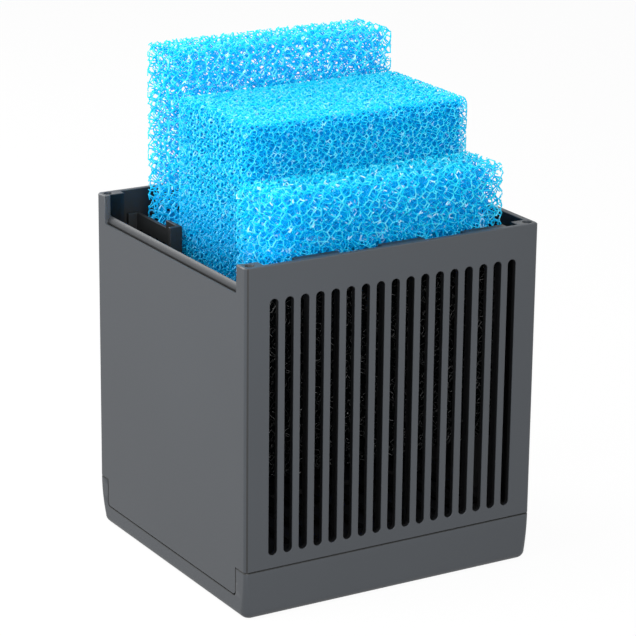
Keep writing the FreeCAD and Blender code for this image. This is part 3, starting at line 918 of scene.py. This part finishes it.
def foam_material(slab, settings, low, high):
    """Reticulated polyether foam: glossy struts that pass some light on, with painted highlights at the cut
    faces and painted shade below them.
    """
    material, tree = new_material(f"Reticulated foam, {slab.place}")
    place = add_node(tree, "ShaderNodeTexCoord", {}, {}).outputs["Object"]
    depth = depth_under(tree, place, low, high)
    # Painted shade: the colour deepens over the first cell under the cut faces, standing in for light that
    # one strut tints for the next
    shallow, deep = (share * slab.cell for share in UNDER_DEPTHS)
    under = add_node(tree, "ShaderNodeMapRange", {}, {"Value": depth, "From Min": shallow, "From Max": deep})
    tinted = add_node(tree, "ShaderNodeMix", {"data_type": "RGBA"},
                      {0: under.outputs["Result"], 6: settings.colour, 7: settings.under_colour})
    # Painted highlights: nearly white cut ends in patches, and nearly white painted glints in the middle of
    # wider cells
    ends = add_node(tree, "ShaderNodeMapRange", {},
                    {"Value": depth, "From Max": END_DEPTH * slab.cell, "To Min": END_SHARE, "To Max": 0.0})
    patches = add_node(tree, "ShaderNodeTexNoise", {},
                       {"Vector": place, "Scale": 1 / PATCH_WIDTH, "Detail": 3})
    share = add_node(tree, "ShaderNodeMapRange", {},
                     {"Value": patches.outputs["Fac"], "From Min": PATCH_RANGE[0],
                      "From Max": PATCH_RANGE[1]})
    shared = add_node(tree, "ShaderNodeMath", {"operation": "MULTIPLY"},
                      {0: ends.outputs["Result"], 1: share.outputs["Result"]})
    tipped = add_node(tree, "ShaderNodeMix", {"data_type": "RGBA"},
                      {0: shared.outputs[0], 6: tinted.outputs[2], 7: settings.tip_highlight_colour})
    films = add_node(tree, "ShaderNodeTexVoronoi", {}, {"Vector": place, "Scale": 1 / GLINT_SPACING})
    spots = add_node(tree, "ShaderNodeMapRange", {},
                     {"Value": films.outputs["Distance"], "From Min": GLINT_RANGE[0],
                      "From Max": GLINT_RANGE[1], "To Min": slab.films, "To Max": 0.0})
    before_rim_shade = add_node(tree, "ShaderNodeMix", {"data_type": "RGBA"},
                   {0: spots.outputs["Result"], 6: tipped.outputs[2], 7: GLINT_COLOUR})
    rim_shaded = add_node(tree, "ShaderNodeMix", {"data_type": "RGBA"},
                    {0: painted_rim_shade(tree, place), 6: before_rim_shade.outputs[2], 7: settings.under_colour})
    shown = with_slot_shade(tree, place, rim_shaded.outputs[2]) if slab.mulm else rim_shaded.outputs[2]
    gloss = add_node(tree, "ShaderNodeBsdfPrincipled", {},
                     {"Base Color": shown, "Roughness": 0.2, "IOR": 1.5})
    through = add_node(tree, "ShaderNodeBsdfTranslucent", {}, {"Color": shown})
    both = add_node(tree, "ShaderNodeMixShader", {},
                    {0: STRUT_THROUGH, 1: gloss.outputs[0], 2: through.outputs[0]})
    # Thin struts cast only faint shadows into the foam
    final = passing_light(tree, both.outputs[0], place, *STRUT_LIGHT)
    add_node(tree, "ShaderNodeOutputMaterial", {}, {"Surface": final})
    return material


def core_material(slab, colour):
    """What is too deep in the foam to see apart: a dull body of its colour, mottled by the cells."""
    material, tree = new_material(f"Deep foam, {slab.place}")
    place = add_node(tree, "ShaderNodeTexCoord", {}, {}).outputs["Object"]
    cells = add_node(tree, "ShaderNodeTexVoronoi", {}, {"Vector": place, "Scale": 1 / MOTTLE_WIDTH})
    shade = add_node(tree, "ShaderNodeMapRange", {},
                     {"Value": cells.outputs["Distance"], "From Max": MOTTLE_BORDER, "To Min": 1.0,
                      "To Max": MOTTLE_SHADE})
    tint = add_node(tree, "ShaderNodeMix", {"data_type": "RGBA"},
                    {0: shade.outputs["Result"], 6: (0, 0, 0, 1), 7: colour})
    shown = with_slot_shade(tree, place, tint.outputs[2]) if slab.mulm else tint.outputs[2]
    dull = add_node(tree, "ShaderNodeBsdfPrincipled", {},
                    {"Base Color": shown, "Roughness": 0.95, "Specular IOR Level": 0.1})
    through = add_node(tree, "ShaderNodeBsdfTranslucent", {}, {"Color": shown})
    both = add_node(tree, "ShaderNodeMixShader", {},
                    {0: CORE_THROUGH, 1: dull.outputs[0], 2: through.outputs[0]})
    final = passing_light(tree, both.outputs[0], place, *CORE_LIGHT)
    add_node(tree, "ShaderNodeOutputMaterial", {}, {"Surface": final})
    return material


class FILTER_OT_foam(bpy.types.Operator):
    """Fills the three slabs with open-cell foam"""
    bl_idname = "filter_module.foam"
    bl_label = "Foam slabs"

    def execute(self, context):
        settings = context.scene.filter_foam
        coarse = (settings.coarse_cell, settings.coarse_strut)
        fine = (settings.fine_cell, settings.fine_strut)
        slabs = [
            Slab("front", *coarse, layers=1.0, open_drop=4 * MM, loss=0, films=0.9, mulm=True,
                 slot="coarse_foam"),
            Slab("middle", *fine, layers=1.2, open_drop=None, loss=0, films=0.4, mulm=False,
                 slot="fine_foam"),
            Slab("rear", *coarse, layers=1.0, open_drop=4 * MM, loss=0.35, films=0.9, mulm=False,
                 slot="coarse_foam"),
        ]
        block = foam_block(settings.disorder, settings.seed)
        for i, slab in enumerate(slabs):
            low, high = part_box(f"foam_{slab.place}")
            open_z = high.z if slab.open_drop is None else RIM_Z - slab.open_drop
            web = foam_web(block, slab, low, high, open_z, settings, settings.seed + i)
            mesh = strut_mesh(web, f"foam_{slab.place}_web", slab.strut / 2)
            inset = Vector((slab.layers * slab.cell * CORE_START,) * 3)
            add_core(mesh, low + inset, Vector((high.x, high.y, open_z)) - inset)
            piece = add_object(f"foam_{slab.place}_web", mesh, f"foam_{slab.place}",
                               [f"foam_{slab.place}"],
                               [foam_material(slab, settings, low, high),
                                core_material(slab, settings.depth_colour)])
        bpy.data.meshes.remove(block)
        return {"FINISHED"}


def rubber(name, colour):
    """Moulded soft rubber: dark, slightly waxy, with a dull bloom."""
    material, tree = new_material(name)
    place = add_node(tree, "ShaderNodeTexCoord", {}, {}).outputs["Object"]
    bloom = add_node(tree, "ShaderNodeTexNoise", {}, {"Vector": place, "Scale": 1 / BLOOM_WIDTH, "Detail": 3})
    pale = tuple(c * BLOOM_TINT + BLOOM_VEIL for c in colour[:3]) + (1.0,)
    tint = add_node(tree, "ShaderNodeMix", {"data_type": "RGBA"},
                    {0: bloom.outputs["Fac"], 6: colour, 7: pale})
    rough = add_node(tree, "ShaderNodeMapRange", {},
                     {"Value": bloom.outputs["Fac"], "To Min": 0.3, "To Max": 0.5})
    shader = add_node(tree, "ShaderNodeBsdfPrincipled", {},
                      {"Base Color": tint.outputs[2], "Roughness": rough.outputs["Result"], "IOR": 1.52})
    add_node(tree, "ShaderNodeOutputMaterial", {}, {"Surface": shader.outputs[0]})
    return material


class FILTER_OT_suction_cups(bpy.types.Operator):
    """Turns the four rubber cups on the rear wall"""
    bl_idname = "filter_module.suction_cups"
    bl_label = "Suction cups"

    def execute(self, context):
        settings = context.scene.filter_cups
        material = rubber("Moulded rubber", settings.colour)
        for i in range(1, 5):
            low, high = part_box(f"suction_cup_{i}")
            centre = (low + high) / 2
            bm = bmesh.new()
            verts = [bm.verts.new((radius * MM, behind * MM, 0)) for radius, behind in CUP_PROFILE]
            edges = [bm.edges.new(pair) for pair in zip(verts, verts[1:])]
            bmesh.ops.spin(bm, geom=verts + edges, cent=(0, 0, 0), axis=(0, 1, 0), dvec=(0, 0, 0),
                           angle=math.tau, steps=settings.steps, use_merge=True)
            bmesh.ops.remove_doubles(bm, verts=bm.verts, dist=SAME_POINT)
            bmesh.ops.recalc_face_normals(bm, faces=bm.faces)
            bmesh.ops.translate(bm, vec=(centre.x, REAR, centre.z), verts=bm.verts)
            piece = add_object(f"suction_cup_{i}_rubber", finished_mesh(bm, f"suction_cup_{i}_rubber"),
                               "housing", [f"suction_cup_{i}"], [material])
            smooth_shading(piece, RUBBER_CREASE)
        return {"FINISHED"}


def seen(tree):
    """1 for a ray that shows a surface: the camera's own, and those off metal and through glass."""
    path = add_node(tree, "ShaderNodeLightPath", {}, {})
    mirrored = add_node(tree, "ShaderNodeMath", {"operation": "MAXIMUM"},
                        {0: path.outputs["Is Camera Ray"], 1: path.outputs["Is Glossy Ray"]})
    return add_node(tree, "ShaderNodeMath", {"operation": "MAXIMUM"},
                    {0: mirrored.outputs[0], 1: path.outputs["Is Transmission Ray"]}).outputs[0]


def backdrop_material(name, colour, bounce, lift):
    """Matt card that is seen nearly white, with the object's shadow kept on it."""
    material, tree = new_material(name)
    shown = seen(tree)
    share = add_node(tree, "ShaderNodeMath", {"operation": "MULTIPLY"}, {0: shown, 1: lift})
    tone = add_node(tree, "ShaderNodeMix", {"data_type": "RGBA"}, {0: shown, 6: bounce, 7: colour})
    card = add_node(tree, "ShaderNodeBsdfDiffuse", {}, {"Color": tone.outputs[2]})
    white = add_node(tree, "ShaderNodeEmission", {}, {"Color": (1, 1, 1, 1), "Strength": 1.0})
    both = add_node(tree, "ShaderNodeMixShader", {},
                    {0: share.outputs[0], 1: card.outputs[0], 2: white.outputs[0]})
    add_node(tree, "ShaderNodeOutputMaterial", {}, {"Surface": both.outputs[0]})
    return material


def add_softbox(name, place, width, power):
    """A square area lamp that looks at the object."""
    data = bpy.data.lights.new(name, "AREA")
    data.shape = "SQUARE"
    data.size = width
    data.energy = power
    lamp = bpy.data.objects.new(name, data)
    lamp.location = place
    lamp.rotation_euler = (LIT_POINT - place).to_track_quat("-Z", "Y").to_euler()
    bpy.context.scene.collection.objects.link(lamp)


def set_world(strength):
    """Even surroundings that light the object dimly and are seen white."""
    world = bpy.data.worlds.new("Studio")
    world.use_nodes = True
    tree = world.node_tree
    tree.nodes.clear()
    dim = add_node(tree, "ShaderNodeBackground", {}, {"Color": (1, 1, 1, 1), "Strength": strength})
    white = add_node(tree, "ShaderNodeBackground", {}, {"Color": (1, 1, 1, 1), "Strength": 1.0})
    both = add_node(tree, "ShaderNodeMixShader", {}, {0: seen(tree), 1: dim.outputs[0], 2: white.outputs[0]})
    add_node(tree, "ShaderNodeOutputWorld", {}, {"Surface": both.outputs[0]})
    bpy.context.scene.world = world


def add_camera():
    """The photograph's view: 31 degrees round to the left, looking 18 degrees down, with a long lens."""
    data = bpy.data.cameras.new("Camera")
    data.sensor_width = CAMERA_SENSOR
    data.lens = CAMERA_LENS
    data.clip_start = CAMERA_NEAREST
    camera = bpy.data.objects.new("Camera", data)
    camera.location = CAMERA_PLACE
    camera.rotation_euler = Euler([math.radians(turn) for turn in CAMERA_TURN])
    bpy.context.scene.collection.objects.link(camera)
    bpy.context.scene.camera = camera


class FILTER_OT_stage(bpy.types.Operator):
    """Sets the floor, the lamps, the surroundings and the camera"""
    bl_idname = "filter_module.stage"
    bl_label = "Stage"

    def execute(self, context):
        settings = context.scene.filter_stage
        bm = bmesh.new()
        bmesh.ops.create_circle(bm, cap_ends=True, radius=FLOOR_RADIUS, segments=96)
        floor = bpy.data.objects.new("floor", finished_mesh(bm, "floor"))
        floor.data.materials.append(backdrop_material("Matt white card", settings.floor_colour,
                                                      settings.bounce_colour, settings.floor_lift))
        bpy.context.scene.collection.objects.link(floor)
        for name, (place, width) in SOFTBOXES.items():
            add_softbox(name, place, width, getattr(settings, f"{name.lower()}_power"))
        set_world(settings.surroundings)
        add_camera()
        context.scene.view_settings.view_transform = "Standard"
        return {"FINISHED"}


class FILTER_PT_panel(bpy.types.Panel):
    """Lists the pieces of the filter module"""
    bl_idname = "FILTER_PT_panel"
    bl_label = "Filter module"
    bl_space_type = "VIEW_3D"
    bl_region_type = "UI"
    bl_category = "Filter"

    def draw(self, context):
        for operator in OPERATORS:
            self.layout.operator(operator.bl_idname)
        for name in GROUPS:
            group = getattr(context.scene, name)
            box = self.layout.box()
            for key in group.__annotations__:
                box.prop(group, key)


OPERATORS = (FILTER_OT_stage, FILTER_OT_housing, FILTER_OT_base_cap, FILTER_OT_riser_screen,
             FILTER_OT_foam, FILTER_OT_suction_cups)
GROUPS = {
    "filter_plastic": PlasticSettings,
    "filter_foam": FoamSettings,
    "filter_cups": CupSettings,
    "filter_stage": StageSettings,
}


def register():
    """Adds the settings, operators and panel."""
    for cls in (*GROUPS.values(), *OPERATORS, FILTER_PT_panel):
        bpy.utils.register_class(cls)
    for name, cls in GROUPS.items():
        setattr(bpy.types.Scene, name, bpy.props.PointerProperty(type=cls))


def unregister():
    """Takes them away again."""
    for name in GROUPS:
        delattr(bpy.types.Scene, name)
    for cls in (FILTER_PT_panel, *reversed(OPERATORS), *reversed(GROUPS.values())):
        bpy.utils.unregister_class(cls)


def main():
    """Builds the whole model."""
    register()
    for operator in OPERATORS:
        area, name = operator.bl_idname.split(".")
        getattr(getattr(bpy.ops, area), name)()


if __name__ == "__main__":
    main()
